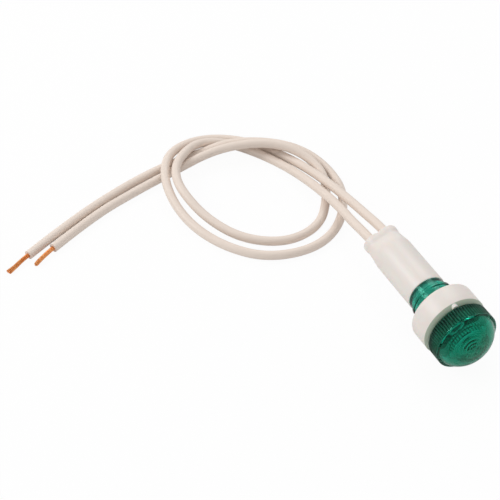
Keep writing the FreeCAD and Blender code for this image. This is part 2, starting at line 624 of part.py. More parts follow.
# Leads: points of each route in the row frame. They run straight out of the collar's holes,
# make one loop that they pass through beside the sleeve, and lie side by side to the ends.
LEAD_1 = [
    (2, 35.5, 8.8), (2, 43, 7.4), (1, 54.5, 6.1), (0, 66.5, 3.6), (-2.5, 78, 1.35),
    (-8.5, 88.5, 1.35), (-17.5, 95, 1.7), (-27.5, 95, 3.5), (-36.5, 90, 5.4), (-41.5, 81.5, 4.9),
    (-43, 71, 3), (-41.5, 60, 1.6), (-36.5, 48.5, 1.35), (-28, 39.5, 1.35), (-14.5, 36.5, 1.35),
    (-3, 41.5, 1.35), (5.5, 53.5, 1.6), (7, 66.5, 1.35), (3, 76.5, 3.1), (-6, 83, 4.8),
    (-17, 87.5, 5.1), (-26.5, 89.5, 2.4), (-38, 90, 1.35), (-53.5, 86.5, 1.35), (-72, 80, 1.35),
    (-89, 72, 1.35),
]
LEAD_2 = [
    (-2.5, 36, 7.8), (-2, 43, 6.8), (-2, 52.5, 5.2), (-3, 64, 3.3), (-5.5, 76, 1.4),
    (-11, 86, 1.35), (-18, 91.5, 3), (-26.5, 91.5, 5.3), (-34.5, 86.5, 5.6), (-38.5, 80, 5.9),
    (-39.5, 72, 5.3), (-37, 61, 2.7), (-31, 49.5, 1.6), (-20, 42.5, 1.35), (-8, 44.5, 1.35),
    (0, 54.5, 1.35), (4, 64, 2.8), (1.5, 73.5, 4.5), (-5.5, 79.5, 6.4), (-14.5, 83.5, 6.4),
    (-24, 86, 4.9), (-34.5, 86.5, 1.9), (-49, 83.5, 1.6), (-66, 79, 1.35), (-81.5, 71.5, 1.35),
]
for name, across, route in (("lead_1", lead_side, LEAD_1), ("lead_2", -lead_side, LEAD_2)):
    heights = (value(LEAD_START), value(f"{SLEEVE_BACK} - lead_straight"))
    straight = [sleeve.Placement.multVec(FreeCAD.Vector(across, 0, height)) for height in heights]
    bent_rod(name, straight + route, value("lead_radius"), in_lamp=False)

# Stripped copper ends, each starting on the end face of its lead. The longer lead's is bent.
TIP_1 = [LEAD_1[-1], (-92, 70.6, 1.2), (-96.8, 68.8, 0.75)]
TIP_2 = [LEAD_2[-1], (-88.7, 68.02, 1.35)]
bent_rod("tip_1", TIP_1, value("conductor_radius"), in_lamp=False)
bent_rod("tip_2", TIP_2, value("conductor_radius"), in_lamp=False)

doc.recompute()
for obj in doc.Objects:
    if "Invalid" in obj.State or "Error" in obj.State:
        raise ValueError(f"{obj.Name}: {obj.State}")
nodes = [obj for obj in doc.Objects
         if obj.TypeId == "PartDesign::Body" or obj.TypeId == "Part::Feature"]
for node in nodes:
    shape = node.Shape
    if shape.isNull() or not shape.isValid() or len(shape.Solids) != 1:
        raise ValueError(f"{node.Label}: solids {len(shape.Solids)}, valid {shape.isValid()}")
for node in nodes:
    node.Shape.exportStep(f"parts/{node.Label}.step")
    box = node.Shape.BoundBox
    print(f"{node.Label}: volume {node.Shape.Volume:.1f}, "
          f"x {box.XMin:.2f} {box.XMax:.2f}, y {box.YMin:.2f} {box.YMax:.2f}, "
          f"z {box.ZMin:.2f} {box.ZMax:.2f}")
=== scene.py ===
import math

import bmesh
import bpy
import numpy as np
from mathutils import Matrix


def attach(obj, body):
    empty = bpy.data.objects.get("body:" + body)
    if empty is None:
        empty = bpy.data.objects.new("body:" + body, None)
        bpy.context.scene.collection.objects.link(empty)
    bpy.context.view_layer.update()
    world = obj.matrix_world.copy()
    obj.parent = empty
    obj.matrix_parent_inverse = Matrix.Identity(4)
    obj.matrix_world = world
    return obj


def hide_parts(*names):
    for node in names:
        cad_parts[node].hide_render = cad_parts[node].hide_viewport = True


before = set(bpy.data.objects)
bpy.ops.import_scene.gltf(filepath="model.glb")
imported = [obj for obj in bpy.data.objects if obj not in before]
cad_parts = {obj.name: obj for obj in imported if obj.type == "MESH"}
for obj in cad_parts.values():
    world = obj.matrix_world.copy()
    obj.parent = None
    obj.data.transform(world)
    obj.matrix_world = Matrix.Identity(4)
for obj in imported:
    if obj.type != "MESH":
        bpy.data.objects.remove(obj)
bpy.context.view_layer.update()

scene = bpy.context.scene
MM = 0.001

# Camera: a plain lens at the photograph's place, about 40 cm from the lamp, looking down
# on the loop of the leads with the lamp's lens end towards it.
AZIMUTH = math.radians(-27.187)
ELEVATION = math.radians(43.455)
CAMERA_PLACE = (-0.17189, -0.22929, 0.29320)
FOCAL_LENGTH = 105.53
SENSOR_WIDTH = 36
camera_data = bpy.data.cameras.new("camera")
camera_data.sensor_width = SENSOR_WIDTH
camera_data.lens = FOCAL_LENGTH
camera = bpy.data.objects.new("camera", camera_data)
camera.location = CAMERA_PLACE
camera.rotation_euler = (math.pi / 2 - ELEVATION, 0, AZIMUTH)
scene.collection.objects.link(camera)
scene.camera = camera

# Studio: a pale floor, a surround that is lighter at the back, and soft lamps. The camera
# meets both as white, reflections and glass meet them so in part, and the shadow stays.
scene.view_settings.view_transform = "Standard"
WHITE = (1, 1, 1, 1)
FLOOR_COLOUR = (0.88, 0.88, 0.88, 1)
FLOOR_HALF = 1.5
SURROUND_FRONT = 0.6
SURROUND_BACK = 0.7
LIGHT_SIDE = (0.1, 0.8, 0.6)
SIDE_RANGE = (-0.5, 0.8)
FLOOR_WHITE = 0.95
GLOSSY_WHITE = 0.10
THROUGH_WHITE = 0.75

# Sockets of a colour mix node, whose names aren't unique.
MIX_SHARE, MIX_FIRST, MIX_SECOND, MIX_RESULT = 0, 6, 7, 2


def add_node(nodes, kind, **settings):
    """A shader node with the given settings; a name with spaces as underscores is a socket."""
    node = nodes.new(kind)
    for name, setting in settings.items():
        if hasattr(node, name):
            setattr(node, name, setting)
        else:
            node.inputs[name.replace("_", " ")].default_value = setting
    return node


def times(nodes, links, output, factor):
    """The given output times a constant."""
    product = add_node(nodes, "ShaderNodeMath", operation="MULTIPLY")
    product.inputs[1].default_value = factor
    links.new(output, product.inputs[0])
    return product.outputs[0]


def larger(nodes, links, first, second):
    """The larger of two outputs."""
    choice = add_node(nodes, "ShaderNodeMath", operation="MAXIMUM")
    links.new(first, choice.inputs[0])
    links.new(second, choice.inputs[1])
    return choice.outputs[0]


def ranged(nodes, links, output, given, wanted):
    """The output with its given range brought to the wanted one."""
    change = add_node(nodes, "ShaderNodeMapRange", From_Min=given[0], From_Max=given[1],
                      To_Min=wanted[0], To_Max=wanted[1])
    links.new(output, change.inputs["Value"])
    return change.outputs["Result"]


def sees_backdrop(nodes, links):
    """1 for camera rays, the shares above for glossy and transmission rays, else 0."""
    path = nodes.new("ShaderNodeLightPath")
    glossy = times(nodes, links, path.outputs["Is Glossy Ray"], GLOSSY_WHITE)
    through = times(nodes, links, path.outputs["Is Transmission Ray"], THROUGH_WHITE)
    return larger(nodes, links, path.outputs["Is Camera Ray"],
                  larger(nodes, links, glossy, through))


def put_out(nodes, links, kind, share, lit, shown):
    """An output of the given kind: the lit shader, replaced by the shown one by the share."""
    mix = nodes.new("ShaderNodeMixShader")
    links.new(share, mix.inputs[0])
    links.new(lit.outputs[0], mix.inputs[1])
    links.new(shown.outputs[0], mix.inputs[2])
    links.new(mix.outputs[0], nodes.new(kind).inputs["Surface"])


world = bpy.data.worlds.new("surround")
world.use_nodes = True
scene.world = world
nodes, links = world.node_tree.nodes, world.node_tree.links
nodes.clear()
light_on_object = add_node(nodes, "ShaderNodeBackground", Color=WHITE)
way = nodes.new("ShaderNodeTexCoord")
towards_back = add_node(nodes, "ShaderNodeVectorMath", operation="DOT_PRODUCT")
towards_back.inputs[1].default_value = LIGHT_SIDE
links.new(way.outputs["Generated"], towards_back.inputs[0])
links.new(ranged(nodes, links, towards_back.outputs["Value"], SIDE_RANGE,
                 (SURROUND_FRONT, SURROUND_BACK)), light_on_object.inputs["Strength"])
backdrop = add_node(nodes, "ShaderNodeBackground", Color=WHITE, Strength=1.0)
put_out(nodes, links, "ShaderNodeOutputWorld", sees_backdrop(nodes, links), light_on_object,
        backdrop)


def new_material(name):
    """A material with its nodes, its links and its Principled BSDF."""
    material = bpy.data.materials.new(name)
    material.use_nodes = True
    nodes, links = material.node_tree.nodes, material.node_tree.links
    return material, nodes, links, nodes["Principled BSDF"]


floor_material, nodes, links, _ = new_material("floor_paper")
nodes.clear()
paper = add_node(nodes, "ShaderNodeBsdfDiffuse", Color=FLOOR_COLOUR)
glow = add_node(nodes, "ShaderNodeEmission", Color=WHITE, Strength=1.0)
share = times(nodes, links, sees_backdrop(nodes, links), FLOOR_WHITE)
put_out(nodes, links, "ShaderNodeOutputMaterial", share, paper, glow)

floor_mesh = bpy.data.meshes.new("floor")
floor_mesh.from_pydata([(-FLOOR_HALF, -FLOOR_HALF, 0), (FLOOR_HALF, -FLOOR_HALF, 0),
                        (FLOOR_HALF, FLOOR_HALF, 0), (-FLOOR_HALF, FLOOR_HALF, 0)],
                       [], [(0, 1, 2, 3)])
floor_mesh.materials.append(floor_material)
floor = bpy.data.objects.new("floor", floor_mesh)
scene.collection.objects.link(floor)


def add_lamp(name, place, target, side, power):
    """A square soft lamp at place, facing target, in metres and watts."""
    data = bpy.data.lights.new(name, "AREA")
    data.shape = "RECTANGLE"
    data.size = side
    data.size_y = side
    data.energy = power
    lamp = bpy.data.objects.new(name, data)
    lamp.location = place
    away = np.array(target) - np.array(place)
    lamp.rotation_euler = (math.acos(-away[2] / np.linalg.norm(away)), 0,
                           math.atan2(-away[0], away[1]))
    scene.collection.objects.link(lamp)


LOOP_CENTRE = (-0.03, 0.03, 0.005)
SOFTBOX_SIDE = 0.4
add_lamp("key_softbox", (-0.62, 0.42, 0.60), LOOP_CENTRE, SOFTBOX_SIDE, 2.8)
add_lamp("back_softbox", (0.35, 0.55, 0.75), LOOP_CENTRE, SOFTBOX_SIDE, 1.4)

# Leads: two PVC-insulated hook-up wires, moulded into the sleeve's collar. They cross
# themselves once, make one loose loop and lie side by side to their stripped ends.
LEAD_DIAMETER = 2.7 * MM
LEAD_1 = [
    (2.16, 20.65, 10.24), (2.16, 27.15, 10.24), (2, 35.5, 8.8), (2, 43, 7.4), (1, 54.5, 6.1),
    (0, 66.5, 3.6), (-2.5, 78, 1.35), (-8.5, 88.5, 1.35), (-17.5, 95, 1.7), (-27.5, 95, 3.5),
    (-36.5, 90, 5.4), (-41.5, 81.5, 4.9), (-43, 71, 3), (-41.5, 60, 1.6), (-36.5, 48.5, 1.35),
    (-28, 39.5, 1.35), (-14.5, 36.5, 1.35), (-3, 41.5, 1.35), (5.5, 53.5, 1.6), (7, 66.5, 1.35),
    (3, 76.5, 3.1), (-6, 83, 4.8), (-17, 87.5, 5.1), (-26.5, 89.5, 2.4), (-38, 90, 1.35),
    (-53.5, 86.5, 1.35), (-72, 80, 1.35), (-89, 72, 1.35),
]
LEAD_2 = [
    (-2.16, 20.65, 8.66), (-2.16, 27.15, 8.66), (-2.5, 36, 7.8), (-2, 43, 6.8), (-2, 52.5, 5.2),
    (-3, 64, 3.3), (-5.5, 76, 1.4), (-11, 86, 1.35), (-18, 91.5, 3), (-26.5, 91.5, 5.3),
    (-34.5, 86.5, 5.6), (-38.5, 80, 5.9), (-39.5, 72, 5.3), (-37, 61, 2.7), (-31, 49.5, 1.6),
    (-20, 42.5, 1.35), (-8, 44.5, 1.35), (0, 54.5, 1.35), (4, 64, 2.8), (1.5, 73.5, 4.5),
    (-5.5, 79.5, 6.4), (-14.5, 83.5, 6.4), (-24, 86, 4.9), (-34.5, 86.5, 1.9), (-49, 83.5, 1.6),
    (-66, 79, 1.35), (-81.5, 71.5, 1.35),
]

# Fine mottling that moulded plastic has: a slow cloud and a fine grain, from Object
# coordinates. It puts out a tinted colour, a roughness and a bump height.
SHEEN_RANGE = 0.12
mottle = bpy.data.node_groups.new("moulded_mottle", "ShaderNodeTree")
for name, kind in (("Colour", "NodeSocketColor"), ("Shade", "NodeSocketColor"),
                   ("Roughness", "NodeSocketFloat"), ("Cloud Scale", "NodeSocketFloat"),
                   ("Grain Scale", "NodeSocketFloat")):
    mottle.interface.new_socket(name, in_out="INPUT", socket_type=kind)
for name, kind in (("Colour", "NodeSocketColor"), ("Roughness", "NodeSocketFloat"),
                   ("Height", "NodeSocketFloat")):
    mottle.interface.new_socket(name, in_out="OUTPUT", socket_type=kind)
nodes, links = mottle.nodes, mottle.links
given = nodes.new("NodeGroupInput")
result = nodes.new("NodeGroupOutput")
place = nodes.new("ShaderNodeTexCoord").outputs["Object"]
cloud = add_node(nodes, "ShaderNodeTexNoise", Detail=3.0, Roughness=0.55)
grain = add_node(nodes, "ShaderNodeTexNoise", Detail=2.0, Roughness=0.5)
tint = add_node(nodes, "ShaderNodeMix", data_type="RGBA")
sheen = add_node(nodes, "ShaderNodeMath", operation="MULTIPLY_ADD")
sheen.inputs[1].default_value = SHEEN_RANGE
links.new(place, cloud.inputs["Vector"])
links.new(place, grain.inputs["Vector"])
links.new(given.outputs["Cloud Scale"], cloud.inputs["Scale"])
links.new(given.outputs["Grain Scale"], grain.inputs["Scale"])
links.new(cloud.outputs["Fac"], tint.inputs[MIX_SHARE])
links.new(given.outputs["Colour"], tint.inputs[MIX_FIRST])
links.new(given.outputs["Shade"], tint.inputs[MIX_SECOND])
links.new(cloud.outputs["Fac"], sheen.inputs[0])
links.new(given.outputs["Roughness"], sheen.inputs[2])
links.new(tint.outputs[MIX_RESULT], result.inputs["Colour"])
links.new(sheen.outputs[0], result.inputs["Roughness"])
links.new(grain.outputs["Fac"], result.inputs["Height"])


def moulded(name, colour, shade, roughness, cloud_scale=90, grain_scale=3000,
            grain_depth=0.00001, **shader):
    """A moulded or coated finish: the mottle group feeds a Principled BSDF and its bump."""
    material, nodes, links, surface = new_material(name)
    group = nodes.new("ShaderNodeGroup")
    group.node_tree = mottle
    group.inputs["Colour"].default_value = (*colour, 1)
    group.inputs["Shade"].default_value = (*shade, 1)
    group.inputs["Roughness"].default_value = roughness
    group.inputs["Cloud Scale"].default_value = cloud_scale
    group.inputs["Grain Scale"].default_value = grain_scale
    bump = add_node(nodes, "ShaderNodeBump", Strength=0.35, Distance=grain_depth)
    links.new(group.outputs["Colour"], surface.inputs["Base Color"])
    links.new(group.outputs["Roughness"], surface.inputs["Roughness"])
    links.new(group.outputs["Height"], bump.inputs["Height"])
    links.new(bump.outputs["Normal"], surface.inputs["Normal"])
    for socket, setting in shader.items():
        surface.inputs[socket.replace("_", " ")].default_value = setting
    return material


insulation = moulded("lead_insulation", (0.82, 0.715, 0.635), (0.78, 0.665, 0.58), 0.42,
                     grain_depth=0.000003, IOR=1.5)


def lay_lead(name, route, node):
    """A round lead along the route's NURBS spline, in millimetres, capped at both ends."""
    curve = bpy.data.curves.new(name, "CURVE")
    curve.dimensions = "3D"
    curve.bevel_depth = LEAD_DIAMETER / 2
    curve.bevel_resolution = 8
    curve.resolution_u = 12
    curve.use_fill_caps = True
    spline = curve.splines.new("NURBS")
    spline.points.add(len(route) - 1)
    for point, (x, y, z) in zip(spline.points, route):
        point.co = (x * MM, y * MM, z * MM, 1)
    spline.order_u = 3
    spline.use_endpoint_u = True
    curve.materials.append(insulation)
    lead = bpy.data.objects.new(name, curve)
    scene.collection.objects.link(lead)
    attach(lead, "lamp")
    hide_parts(node)


# Stripped ends: 19 copper strands laid in a slow twist. The longer lead's end is bent down
# and pressed flat where it was cut; the shorter one is twisted tight and rounded. BUNDLE has
# each strand's place: its distance from the middle in strand radii, and its angle.
STRAND_RADIUS = 0.13 * MM
STRAND_STEPS = 60
STRAND_SIDES = 8
STRAND_END = (0.97, 0.8, 0.35)
BUNDLE_REACH = 4
BUNDLE = [(0, 0)] + [(2, math.tau * number / 6) for number in range(6)]
BUNDLE += [(BUNDLE_REACH, math.tau * (number + 0.5) / 12) for number in range(12)]
FRAY_START = 0.45
SPLINE_STEPS = 24
MERGE_DISTANCE = 0.5e-6
TIP_1 = [(-88, 72.47, 1.35), (-89, 72, 1.35), (-90.6, 71.25, 1.33), (-92, 70.6, 1.2),
         (-94.2, 69.5, 0.95), (-96.6, 68.45, 0.76)]
TIP_2 = [(-80.6, 71.94, 1.35), (-83, 70.77, 1.35), (-86.2, 69.05, 1.2), (-88.8, 67.5, 0.9)]


def object_noise(nodes, links, scale, detail):
    """Noise from Object coordinates."""
    place = nodes.new("ShaderNodeTexCoord")
    noise = add_node(nodes, "ShaderNodeTexNoise", Scale=scale, Detail=detail)
    links.new(place.outputs["Object"], noise.inputs["Vector"])
    return noise.outputs["Fac"]


def ramped(nodes, links, output, first, last, *between):
    """Colours along the output, from (place, colour) stops."""
    ramp = nodes.new("ShaderNodeValToRGB")
    stops = ramp.color_ramp.elements
    for stop, (place, colour) in zip(stops, (first, last)):
        stop.position = place
        stop.color = (*colour, 1)
    for place, colour in between:
        stops.new(place).color = (*colour, 1)
    links.new(output, ramp.inputs["Fac"])
    return ramp.outputs["Color"]


copper, nodes, links, surface = new_material("bare_copper")
surface.inputs["Metallic"].default_value = 1.0
tarnish = object_noise(nodes, links, 900.0, 3.0)
links.new(ramped(nodes, links, tarnish, (0.35, (0.78, 0.27, 0.08)), (0.65, (0.94, 0.48, 0.20))),
          surface.inputs["Base Color"])
links.new(ranged(nodes, links, tarnish, (0.3, 0.7), (0.24, 0.42)),
          surface.inputs["Roughness"])


def add_mesh(name, vertices, faces, material, angle=35):
    """A mesh object in the row frame, its doubles merged, its normals outwards."""
    mesh = bpy.data.meshes.new(name)
    mesh.from_pydata(vertices.tolist(), [], faces)
    shape = bmesh.new()
    shape.from_mesh(mesh)
    bmesh.ops.remove_doubles(shape, verts=shape.verts, dist=MERGE_DISTANCE)
    bmesh.ops.recalc_face_normals(shape, faces=shape.faces)
    shape.to_mesh(mesh)
    shape.free()
    mesh.shade_smooth()
    mesh.set_sharp_from_angle(angle=math.radians(angle))
    mesh.materials.append(material)
    piece = bpy.data.objects.new(name, mesh)
    scene.collection.objects.link(piece)
    return piece


def grid_faces(rows, columns, first=0):
    """Quads between neighbouring rows of a grid whose columns close into rings."""
    row, column = np.meshgrid(np.arange(rows - 1), np.arange(columns), indexing="ij")
    following = (column + 1) % columns
    corners = np.stack([row * columns + column, row * columns + following,
                        (row + 1) * columns + following, (row + 1) * columns + column], axis=-1)
    return (corners.reshape(-1, 4) + first).tolist()


def ring_cap(columns, first, reverse=False):
    """One face across a ring of vertices."""
    ring = list(range(first, first + columns))
    return [ring[::-1] if reverse else ring]


def smooth_line(points, steps):
    """Points spread evenly along a Catmull-Rom spline through the given ones, in metres.

    Between b and c, with neighbours a and d, a point is half of 2b + (c - a)t
    + (2a - 5b + 4c - d)t^2 + (3b - a - 3c + d)t^3.
    """
    points = np.array(points) * MM
    padded = np.vstack([2 * points[0] - points[1], points, 2 * points[-1] - points[-2]])
    pieces = []
    for number in range(len(points) - 1):
        a, b, c, d = padded[number:number + 4]
        t = np.linspace(0, 1, SPLINE_STEPS, endpoint=number == len(points) - 2)[:, None]
        pieces.append(0.5 * (2 * b + (c - a) * t + (2 * a - 5 * b + 4 * c - d) * t ** 2
                             + (3 * b - a - 3 * c + d) * t ** 3))
    line = np.vstack(pieces)
    travelled = np.r_[0, np.cumsum(np.linalg.norm(np.diff(line, axis=0), axis=1))]
    even = np.linspace(0, travelled[-1], steps)
    return np.stack([np.interp(even, travelled, line[:, axis]) for axis in range(3)], axis=1)


def strand_bundle(name, points, twist, spread, flatten, closing, node):
    """A bundle of strands about a line: a strand's place turns with the distance along it.

    Each strand keeps its angle plus twist times the distance. Its distance from the middle
    grows sideways by spread and shrinks in height by flatten towards the free end, and
    closing rounds the end of the bundle off.
    """
    line = smooth_line(points, STRAND_STEPS)
    heading = np.gradient(line, axis=0)
    heading /= np.linalg.norm(heading, axis=1)[:, None]
    sideways = np.cross(heading, (0, 0, 1))
    sideways /= np.linalg.norm(sideways, axis=1)[:, None]
    upwards = np.cross(sideways, heading)
    along = np.linspace(0, 1, STRAND_STEPS)
    late = np.clip((along - FRAY_START) / (1 - FRAY_START), 0, 1) ** 2
    around = np.linspace(0, math.tau, STRAND_SIDES, endpoint=False)
    vertices, faces = [], []
    for layer, angle in BUNDLE:
        turn = angle + twist * along
        last = STRAND_STEPS - round(closing * (layer / BUNDLE_REACH) ** 2 * STRAND_STEPS)
        reach = layer * STRAND_RADIUS
        across = reach * np.cos(turn) * (1 + spread * late)
        above = reach * np.sin(turn) * (1 - flatten * late)
        middle = line + across[:, None] * sideways + above[:, None] * upwards
        middle = middle[:last]
        thin = np.ones(last)
        thin[-len(STRAND_END):] = STRAND_END
        ring = STRAND_RADIUS * thin[:, None, None] * (
            np.cos(around)[None, :, None] * sideways[:last, None]
            + np.sin(around)[None, :, None] * upwards[:last, None])
        tube = (middle[:, None] + ring).reshape(-1, 3)
        first = sum(len(part) for part in vertices)
        faces += grid_faces(last, STRAND_SIDES, first)
        faces += ring_cap(STRAND_SIDES, first, True)
        faces += ring_cap(STRAND_SIDES, first + (last - 1) * STRAND_SIDES)
        vertices.append(tube)
    bundle = add_mesh(name, np.vstack(vertices), faces, copper, 60)
    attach(bundle, "lamp")
    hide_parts(node)
    return bundle


tip_1 = strand_bundle("stripped_end_1", TIP_1, 0.7, 0.6, 0.3, 0.02, "tip_1")
tip_2 = strand_bundle("stripped_end_2", TIP_2, 1.1, 0.0, 0.0, 0.05, "tip_2")
lay_lead("insulated_lead_1", LEAD_1, "lead_1")
lay_lead("insulated_lead_2", LEAD_2, "lead_2")

# Lens body: one clear green acrylic moulding, with a domed lens over ring prisms, a fluted
# band to grip, a barrel with ribs for the ring and a plain tail that the sleeve covers. The
# band's surface is satin and carries painted shade: its crests are painted a darker green than
# the moulding and its grooves nearly black, in colour and in reflection tint.
AXIS_HEIGHT = 9.45
SEAT = -15.3
HEAD_RADIUS = 9.25
HEAD_LENGTH = 9.7
DOME_SIDE = 9.05
DOME_FOOT = 5.4
SHOULDER = 6.9
BAND_LENGTH = 4.8
BAND_LIP = 0.3
BAND_EDGE = 0.12
FLANGE_CHAMFER = 0.5
FLUTES = 72
FLUTE_COLUMNS = 8
FLUTE_DEPTH = 0.24
FLUTE_FRONT = BAND_LENGTH - BAND_LIP
FLUTE_LIMIT = 8.6
FLUTE_ROWS = (3.2, 1.8)
LIP_ROW = 0.02
FLANGE_ROW = 7.4
TINY = 1e-6
BARREL_RADIUS = 6.25
BARREL_LENGTH = 12.5
BARREL_COLLAR = 0.9
BARREL_TAPER = 0.15
RIB_DEPTH = 0.2
RIB_PITCH = 0.9
RIB_COUNT = 11
TAIL_RADIUS = 5.6
TAIL_LENGTH = 2.45
SPIGOT_RADIUS = 4.93
SPIGOT_LENGTH = 5.0
BORE_RADIUS = 4.1
BORE_ROW = -9.0
CAVITY_RADIUS = 7.25
CAVITY_FLOOR = 1.0
CAVITY_SIDE = 2.9
DOME_WALL = 3.0
PRISM_COUNT = 7
PRISM_PITCH = 0.9
PRISM_DEPTH = 0.28
PRISM_DRAFT = 0.01
SLEEVE_FRONT = -BARREL_LENGTH - TAIL_LENGTH


def to_row_frame(x, y, z):
    """Lamp-frame millimetres, lens at +z and seat at 0, to row-frame metres."""
    return np.stack([x, SEAT - z, AXIS_HEIGHT + y], axis=-1).reshape(-1, 3) * MM


def arc(centre, radius, start, end, count):
    """Points of an arc in a profile, angles in radians from the outward direction."""
    angle = np.linspace(start, end, count)
    return np.stack([centre[0] + radius * np.cos(angle), centre[1] + radius * np.sin(angle)],
                    axis=1)


def turned(name, profile, columns, material, shape=None, angle=35):
    """A profile of (radius, height) turned about the lamp's axis.

    Its ends close at the axis or, for a ring, onto each other. shape may change the radius
    as a function of radius, height and angle, all on the grid.
    """
    profile = np.asarray(profile, float)
    if profile[0, 0] > TINY:
        profile = np.vstack([profile, profile[:1]])
    turn = np.linspace(0, math.tau, columns, endpoint=False)
    radius = np.repeat(profile[:, :1], columns, axis=1)
    height = np.repeat(profile[:, 1:], columns, axis=1)
    turn = np.repeat(turn[None], len(profile), axis=0)
    if shape:
        radius = shape(radius, height, turn)
    vertices = to_row_frame(radius * np.cos(turn), radius * np.sin(turn), height)
    return add_mesh(name, vertices, grid_faces(len(profile), columns), material, angle)


def fluted(radius, height, turn):
    """Rounded crests keep the radius; between them it is cut back by a sharp-bottomed flute.

    The depth is that of the flute times one less the sine of half the phase. The cut stops
    short of the plain lip in front, and rows within the flute limit aren't cut.
    """
    phase = np.mod(turn * FLUTES / math.tau, 1)
    depth = (1 - np.sin(math.pi * phase)) * FLUTE_DEPTH
    in_band = (height > -TINY) & (height < FLUTE_FRONT + TINY)
    in_band &= radius > FLUTE_LIMIT
    return np.where(in_band, np.minimum(radius, HEAD_RADIUS - depth), radius)


dome_rise = HEAD_LENGTH - DOME_FOOT
dome_radius = (DOME_SIDE ** 2 + dome_rise ** 2) / (2 * dome_rise)
dome_centre = HEAD_LENGTH - dome_radius
shoulder_reach = DOME_SIDE - SHOULDER
shoulder_rise = math.sqrt((dome_radius - SHOULDER) ** 2 - shoulder_reach ** 2)
shoulder_centre = (shoulder_reach, dome_centre + shoulder_rise)
meeting = math.atan2(shoulder_rise, shoulder_reach)
band_meeting = math.asin((BAND_LENGTH - shoulder_centre[1]) / SHOULDER)
dome = arc((0, dome_centre), dome_radius, math.pi / 2, meeting, 22)
shoulder = arc(shoulder_centre, SHOULDER, meeting, band_meeting, 14)[1:]
edge = arc((HEAD_RADIUS - BAND_EDGE, BAND_LENGTH - BAND_EDGE), BAND_EDGE, math.pi / 2, 0, 5)
band = [(HEAD_RADIUS, height)
        for height in (FLUTE_FRONT + LIP_ROW, FLUTE_FRONT, *FLUTE_ROWS, FLANGE_CHAMFER)]
band += [(HEAD_RADIUS - FLANGE_CHAMFER, 0), (FLANGE_ROW, 0), (BARREL_RADIUS - RIB_DEPTH, 0)]
ribs = [(BARREL_RADIUS - inset, -(number + step) * RIB_PITCH)
        for number in range(1, RIB_COUNT + 1)
        for step, inset in ((-0.3, RIB_DEPTH), (-0.15, 0), (0.25, 0), (0.4, RIB_DEPTH))]
tail = [(BARREL_RADIUS - RIB_DEPTH, -BARREL_LENGTH + BARREL_COLLAR + RIB_DEPTH),
        (BARREL_RADIUS, -BARREL_LENGTH + BARREL_COLLAR),
        (BARREL_RADIUS, -BARREL_LENGTH + BARREL_TAPER),
        (BARREL_RADIUS - BARREL_TAPER, -BARREL_LENGTH),
        (TAIL_RADIUS, -BARREL_LENGTH), (TAIL_RADIUS, SLEEVE_FRONT),
        (SPIGOT_RADIUS, SLEEVE_FRONT), (SPIGOT_RADIUS, SLEEVE_FRONT - SPIGOT_LENGTH),
        (BORE_RADIUS, SLEEVE_FRONT - SPIGOT_LENGTH), (BORE_RADIUS, BORE_ROW),
        (BORE_RADIUS, CAVITY_FLOOR), (CAVITY_RADIUS, CAVITY_FLOOR),
        (CAVITY_RADIUS, CAVITY_SIDE)]
inner_rise = HEAD_LENGTH - DOME_WALL - CAVITY_SIDE
inner_radius = (CAVITY_RADIUS ** 2 + inner_rise ** 2) / (2 * inner_rise)


def inner_height(radius):
    """Height of the smooth inner dome at a radius."""
    return HEAD_LENGTH - DOME_WALL - inner_radius + math.sqrt(inner_radius ** 2 - radius ** 2)


prisms = []
for number in reversed(range(PRISM_COUNT)):
    outer_edge = (number + 1) * PRISM_PITCH - PRISM_DRAFT
    inner_edge = number * PRISM_PITCH
    middle = (outer_edge + inner_edge) / 2
    prisms += [(outer_edge, inner_height(outer_edge) + PRISM_DEPTH),
               (middle, inner_height(middle) + PRISM_DEPTH / 2),
               (inner_edge, inner_height(inner_edge))]

CLEAR_COLOUR, CLEAR_GLOSS = (0.93, 1.0, 0.97), (0.2, 0.7, 0.55)
# Painted shade: the band's crests and grooves are painted darker than the clear moulding, in
# colour and in reflection tint.
CREST_PAINTED_SHADE, CREST_SHADED_GLOSS = (0.2, 0.6, 0.45), (0.12, 0.7, 0.5)
VALLEY_PAINTED_SHADE, VALLEY_SHADED_GLOSS = (0.0, 0.02, 0.01), (0.0, 0.05, 0.03)
DEPTH_COLOUR = (0.12, 0.775, 0.70, 1)
DEPTH_DENSITY = 1000.0
BAND_ROUGHNESS = 0.56
green, nodes, links, surface = new_material("clear_green_acrylic")
surface.inputs["Transmission Weight"].default_value = 1.0
surface.inputs["IOR"].default_value = 1.49
# The groove attribute carries the band's painted shade into the colour and the reflection tint,
# deepest in the grooves.
groove = add_node(nodes, "ShaderNodeAttribute", attribute_name="groove").outputs["Fac"]
links.new(ramped(nodes, links, groove, (0, CLEAR_COLOUR), (1, VALLEY_PAINTED_SHADE),
                 (0.5, CREST_PAINTED_SHADE)), surface.inputs["Base Color"])
links.new(ramped(nodes, links, groove, (0, CLEAR_GLOSS), (1, VALLEY_SHADED_GLOSS),
                 (0.55, CREST_SHADED_GLOSS)), surface.inputs["Specular Tint"])
frost = ranged(nodes, links, object_noise(nodes, links, 160.0, 2.0), (0.35, 0.75), (0.03, 0.09))
satin = times(nodes, links, groove, BAND_ROUGHNESS)
links.new(larger(nodes, links, frost, satin), surface.inputs["Roughness"])
bump = add_node(nodes, "ShaderNodeBump", Strength=0.25, Distance=0.00003)
links.new(object_noise(nodes, links, 220.0, 1.0), bump.inputs["Height"])
links.new(bump.outputs["Normal"], surface.inputs["Normal"])
depth_colour = add_node(nodes, "ShaderNodeVolumeAbsorption", Color=DEPTH_COLOUR,
                        Density=DEPTH_DENSITY)
links.new(depth_colour.outputs["Volume"], nodes["Material Output"].inputs["Volume"])

profile = np.vstack([dome, shoulder, edge, band, ribs, tail, prisms])
lens = turned("lens_moulding", profile, FLUTES * FLUTE_COLUMNS, green, fluted, 24)


